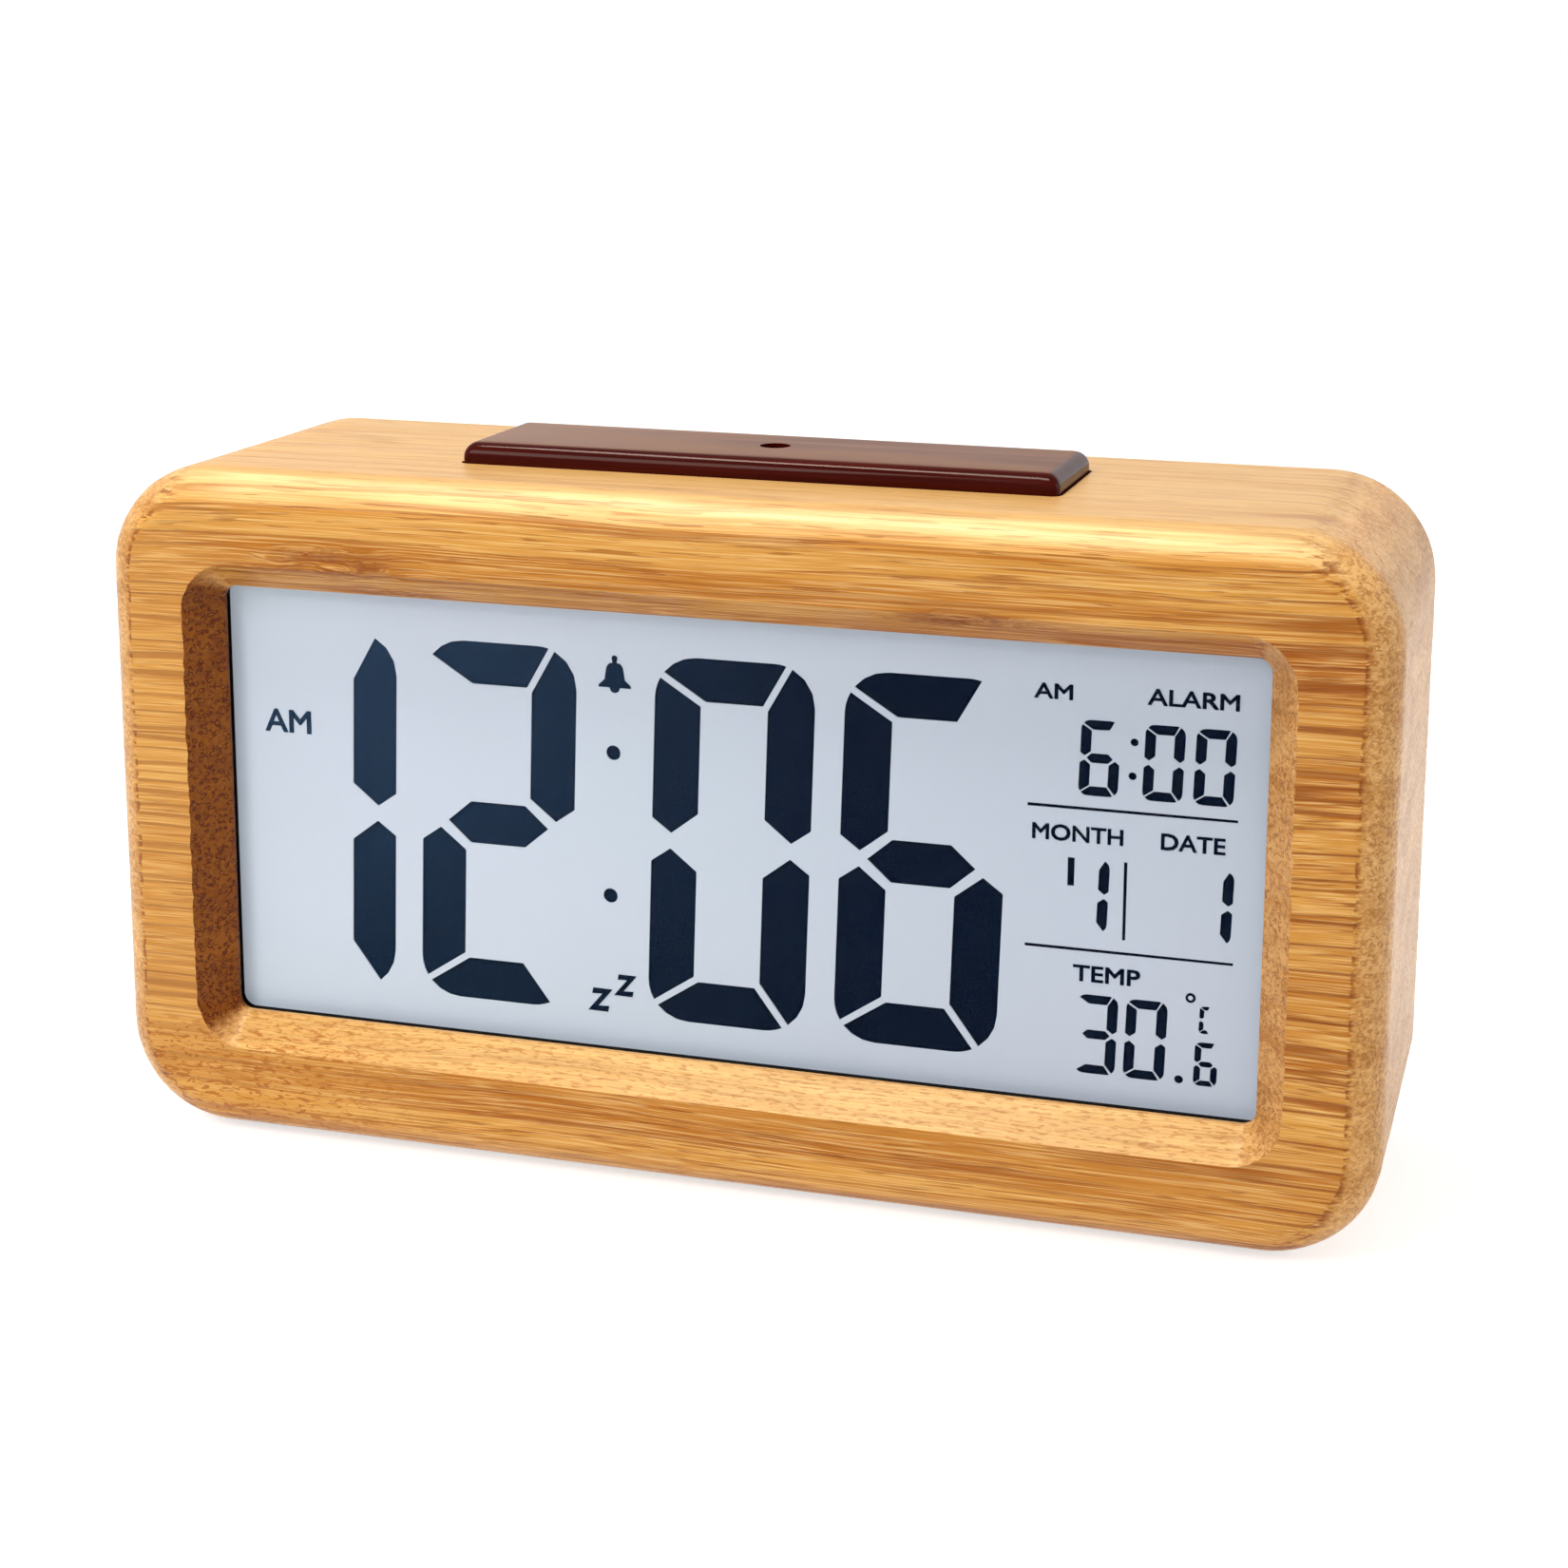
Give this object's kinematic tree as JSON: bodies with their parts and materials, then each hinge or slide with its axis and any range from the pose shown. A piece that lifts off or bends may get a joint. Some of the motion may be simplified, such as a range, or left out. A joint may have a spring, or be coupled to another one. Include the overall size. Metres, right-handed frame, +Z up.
{
  "type": "digital alarm clock",
  "caption": "Rounded bamboo block clock with a recessed LCD window, a lacquered snooze bar on top, and push buttons, a slide switch and a battery door in its rear cover.",
  "frame": {"origin": "on the surface that the feet stand on, under the middle of the clock's width and depth", "axes": "+X to the right of the display, +Y from the display to the rear cover, +Z up"},
  "size_m": [0.15, 0.045, 0.0837],
  "materials": {
    "bamboo": "clear satin varnish over laminated bamboo",
    "lacquer": "glossy dark red-brown lacquer",
    "clear_sheet": "clear, faint gloss",
    "lcd_glass": "clear with a matte polariser",
    "lcd_pale": "even pale grey-blue",
    "lcd_dark": "dark navy",
    "light_guide": "milky acrylic",
    "black_plastic": "moulded, fine texture",
    "circuit_board": "green solder mask",
    "rubber": "matte",
    "led": "glossy",
    "cover_plastic": "moulded brown, fine texture",
    "key_plastic": "smooth satin",
    "steel": "nickel plated",
    "cell_sleeve": "plain printed sleeve, satin",
    "lead": "smooth insulation"
  },
  "bodies": {
    "clock_body": {"bamboo_case": "bamboo", "display_window": "clear_sheet", "lcd_front_glass": "lcd_glass", "lcd_segment_mask": "lcd_pale", "lcd_segment_film": "lcd_dark", "lcd_rear_glass": "lcd_glass", "light_guide": "light_guide", "reflector_sheet": "light_guide", "backlight_led_left": "led", "backlight_led_right": "led", "display_frame": "black_plastic", "zebra_strip_upper": "rubber", "zebra_strip_lower": "rubber", "main_board": "circuit_board", "clock_chip": "black_plastic", "quartz_crystal": "steel", "snooze_board": "circuit_board", "snooze_switch": "black_plastic", "light_sensor": "led", "snooze_spring_left": "steel", "snooze_spring_right": "steel", "rear_cover": "cover_plastic", "cover_screw_1": "steel", "cover_screw_2": "steel", "cover_screw_3": "steel", "cover_screw_4": "steel", "key_board": "circuit_board", "key_switch_mode": "black_plastic", "key_switch_set": "black_plastic", "key_switch_up": "black_plastic", "key_switch_down": "black_plastic", "key_switch_alarm": "black_plastic", "slide_switch_body": "black_plastic", "temperature_sensor": "black_plastic", "buzzer": "black_plastic", "battery_1": "cell_sleeve", "battery_2": "cell_sleeve", "battery_3": "cell_sleeve", "contact_spring_1": "steel", "contact_spring_2": "steel", "contact_spring_3": "steel", "contact_plate_1": "steel", "contact_plate_2": "steel", "contact_plate_3": "steel", "foot_1": "rubber", "foot_2": "rubber", "foot_3": "rubber", "foot_4": "rubber", "board_ribbon": "lead", "snooze_ribbon": "lead", "power_lead": "lead"},
    "snooze_bar_body": {"snooze_bar": "lacquer", "snooze_switch_stem": "lead"},
    "mode_button_body": {"button_mode": "key_plastic"},
    "set_button_body": {"button_set": "key_plastic"},
    "up_button_body": {"button_up": "key_plastic"},
    "down_button_body": {"button_down": "key_plastic"},
    "alarm_button_body": {"button_alarm": "key_plastic"},
    "slide_knob_body": {"slide_switch_knob": "key_plastic"},
    "battery_door_body": {"battery_door": "cover_plastic"}
  },
  "joints": [
    {"name": "snooze_press", "type": "slide", "parent": "clock_body", "child": "snooze_bar_body", "axis": [0, 0, -1], "range_m": [0, 0.0008], "stiffness_N_per_m": 600, "springref_m": -0.0012, "deforming": ["snooze_spring_left", "snooze_spring_right"]},
    {"name": "mode_press", "type": "slide", "parent": "clock_body", "child": "mode_button_body", "axis": [0, -1, 0], "range_m": [0, 0.0005], "stiffness_N_per_m": 500, "springref_m": -0.0006},
    {"name": "set_press", "type": "slide", "parent": "clock_body", "child": "set_button_body", "axis": [0, -1, 0], "range_m": [0, 0.0005], "stiffness_N_per_m": 500, "springref_m": -0.0006},
    {"name": "up_press", "type": "slide", "parent": "clock_body", "child": "up_button_body", "axis": [0, -1, 0], "range_m": [0, 0.0005], "stiffness_N_per_m": 500, "springref_m": -0.0006},
    {"name": "down_press", "type": "slide", "parent": "clock_body", "child": "down_button_body", "axis": [0, -1, 0], "range_m": [0, 0.0005], "stiffness_N_per_m": 500, "springref_m": -0.0006},
    {"name": "alarm_press", "type": "slide", "parent": "clock_body", "child": "alarm_button_body", "axis": [0, -1, 0], "range_m": [0, 0.0005], "stiffness_N_per_m": 500, "springref_m": -0.0006},
    {"name": "alarm_slide", "type": "slide", "parent": "clock_body", "child": "slide_knob_body", "axis": [1, 0, 0], "range_m": [0, 0.003]},
    {"name": "battery_door_hinge", "type": "hinge", "parent": "clock_body", "child": "battery_door_body", "pos_m": [0, 0.0215, 0.0085], "axis": [-1, 0, 0], "range_deg": [0, 70]}
  ]
}
